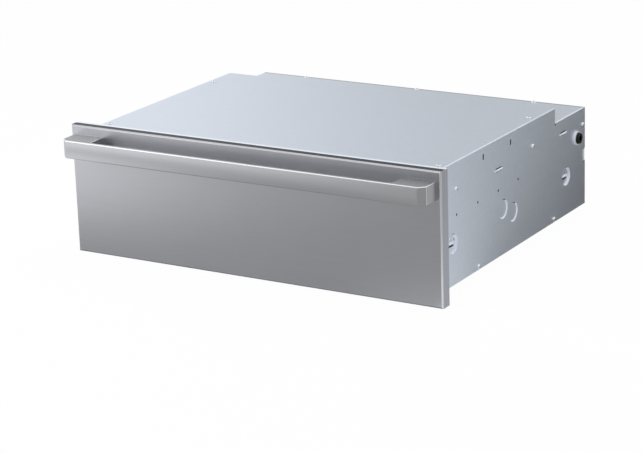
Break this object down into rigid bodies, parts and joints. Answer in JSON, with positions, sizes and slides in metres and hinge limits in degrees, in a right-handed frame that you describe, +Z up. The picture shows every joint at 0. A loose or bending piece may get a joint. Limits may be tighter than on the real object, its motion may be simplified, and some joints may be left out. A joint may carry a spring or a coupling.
{
  "type": "built in warming drawer",
  "caption": "Sheet steel warming drawer that slides into a cabinet, with an insulated drawer on telescopic ball slides behind a stainless panel and full width bar handle.",
  "frame": {"origin": "middle of the chassis's front lower edge, on its flat underside, in the plane of the cabinet's face", "axes": "+X to the right when facing the front panel, +Y to the rear into the cabinet, +Z up"},
  "size_m": [0.759, 0.6718, 0.241],
  "materials": {
    "galvanised_sheet": "galvanised steel sheet, satin",
    "stainless_sheet": "stainless sheet, mill finish",
    "stainless_brushed": "stainless steel, brushed along its length",
    "bright_steel": "bright annealed stainless sheet",
    "mineral_wool": "pressed mineral wool board",
    "element_sheath": "drawn alloy tube, oxidised",
    "zinc_plated_steel": "roll formed steel, zinc plated",
    "ball_steel": "ground and polished",
    "screw_steel": "cold headed steel, bright plated",
    "black_plastic": "moulded, fine grain",
    "black_nylon": "moulded nylon, satin",
    "circuit_board": "solder mask on glass laminate",
    "white_plastic": "moulded, satin",
    "silicone": "extruded silicone, matte",
    "chromed_wire": "welded wire, chromed",
    "dark_fascia": "moulded, fine texture",
    "amber_lens": "clear amber lens",
    "button_plastic": "moulded, metallic"
  },
  "bodies": {
    "chassis": {"side_panel_left": "galvanised_sheet", "side_panel_right": "galvanised_sheet", "top_cover": "galvanised_sheet", "rear_lid": "galvanised_sheet", "base_pan": "galvanised_sheet", "rear_panel": "galvanised_sheet", "bulkhead": "galvanised_sheet", "front_frame": "stainless_sheet", "cavity_roof": "galvanised_sheet", "side_liner_left": "galvanised_sheet", "side_liner_right": "galvanised_sheet", "insulation_batts": "mineral_wool", "insulation_base": "mineral_wool", "element_tray": "bright_steel", "heating_element": "element_sheath", "element_clips": "zinc_plated_steel", "temperature_probe": "bright_steel", "limit_thermostat": "black_plastic", "control_board": "circuit_board", "terminal_block": "white_plastic", "cable_gland": "black_nylon", "gland_ring": "screw_steel", "door_gasket": "silicone", "slide_outer_left": "zinc_plated_steel", "slide_outer_right": "zinc_plated_steel", "case_screws": "screw_steel", "slide_screws": "screw_steel"},
    "drawer": {"front_skin": "stainless_brushed", "front_insulation": "mineral_wool", "front_backing": "galvanised_sheet", "handle": "stainless_brushed", "handle_screws": "screw_steel", "drawer_side_left": "stainless_sheet", "drawer_side_right": "stainless_sheet", "drawer_back": "stainless_sheet", "drawer_front_wall": "stainless_sheet", "warming_pan": "bright_steel", "rack_frame": "chromed_wire", "rack_rods": "chromed_wire", "control_fascia": "dark_fascia", "control_housing": "black_plastic", "indicator_lights": "amber_lens", "vent_guide": "black_plastic", "slide_inner_left": "zinc_plated_steel", "slide_inner_right": "zinc_plated_steel"},
    "middle_left": {"slide_middle_left": "zinc_plated_steel"},
    "outer_cage_set_left": {"outer_cage_left": "zinc_plated_steel", "outer_balls_left": "ball_steel"},
    "inner_cage_set_left": {"inner_cage_left": "zinc_plated_steel", "inner_balls_left": "ball_steel"},
    "middle_right": {"slide_middle_right": "zinc_plated_steel"},
    "outer_cage_set_right": {"outer_cage_right": "zinc_plated_steel", "outer_balls_right": "ball_steel"},
    "inner_cage_set_right": {"inner_cage_right": "zinc_plated_steel", "inner_balls_right": "ball_steel"},
    "power_key": {"power_button": "button_plastic"},
    "cooler_key": {"cooler_button": "button_plastic"},
    "warmer_key": {"warmer_button": "button_plastic"},
    "timer_key": {"timer_button": "button_plastic"},
    "vent_shutter": {"vent_slider": "button_plastic"}
  },
  "joints": [
    {"name": "drawer_slide", "type": "slide", "parent": "chassis", "child": "drawer", "axis": [0, -1, 0], "range_m": [0, 0.5]},
    {"name": "middle_slide_left", "type": "slide", "parent": "chassis", "child": "middle_left", "axis": [0, -1, 0], "range_m": [0, 0.25]},
    {"name": "outer_cage_slide_left", "type": "slide", "parent": "chassis", "child": "outer_cage_set_left", "axis": [0, -1, 0], "range_m": [0, 0.125]},
    {"name": "inner_cage_slide_left", "type": "slide", "parent": "chassis", "child": "inner_cage_set_left", "axis": [0, -1, 0], "range_m": [0, 0.375]},
    {"name": "middle_slide_right", "type": "slide", "parent": "chassis", "child": "middle_right", "axis": [0, -1, 0], "range_m": [0, 0.25]},
    {"name": "outer_cage_slide_right", "type": "slide", "parent": "chassis", "child": "outer_cage_set_right", "axis": [0, -1, 0], "range_m": [0, 0.125]},
    {"name": "inner_cage_slide_right", "type": "slide", "parent": "chassis", "child": "inner_cage_set_right", "axis": [0, -1, 0], "range_m": [0, 0.375]},
    {"name": "power_press", "type": "slide", "parent": "drawer", "child": "power_key", "axis": [0, 0, -1], "range_m": [0, 0.0015], "stiffness_N_per_m": 800, "springref_m": -0.001},
    {"name": "cooler_press", "type": "slide", "parent": "drawer", "child": "cooler_key", "axis": [0, 0, -1], "range_m": [0, 0.0015], "stiffness_N_per_m": 800, "springref_m": -0.001},
    {"name": "warmer_press", "type": "slide", "parent": "drawer", "child": "warmer_key", "axis": [0, 0, -1], "range_m": [0, 0.0015], "stiffness_N_per_m": 800, "springref_m": -0.001},
    {"name": "timer_press", "type": "slide", "parent": "drawer", "child": "timer_key", "axis": [0, 0, -1], "range_m": [0, 0.0015], "stiffness_N_per_m": 800, "springref_m": -0.001},
    {"name": "vent_slide", "type": "slide", "parent": "drawer", "child": "vent_shutter", "axis": [1, 0, 0], "range_m": [0, 0.006]}
  ],
  "couplings": [
    {"joint": "middle_slide_left", "follows": "drawer_slide", "ratio": 0.5},
    {"joint": "outer_cage_slide_left", "follows": "drawer_slide", "ratio": 0.25},
    {"joint": "inner_cage_slide_left", "follows": "drawer_slide", "ratio": 0.75},
    {"joint": "middle_slide_right", "follows": "drawer_slide", "ratio": 0.5},
    {"joint": "outer_cage_slide_right", "follows": "drawer_slide", "ratio": 0.25},
    {"joint": "inner_cage_slide_right", "follows": "drawer_slide", "ratio": 0.75}
  ]
}
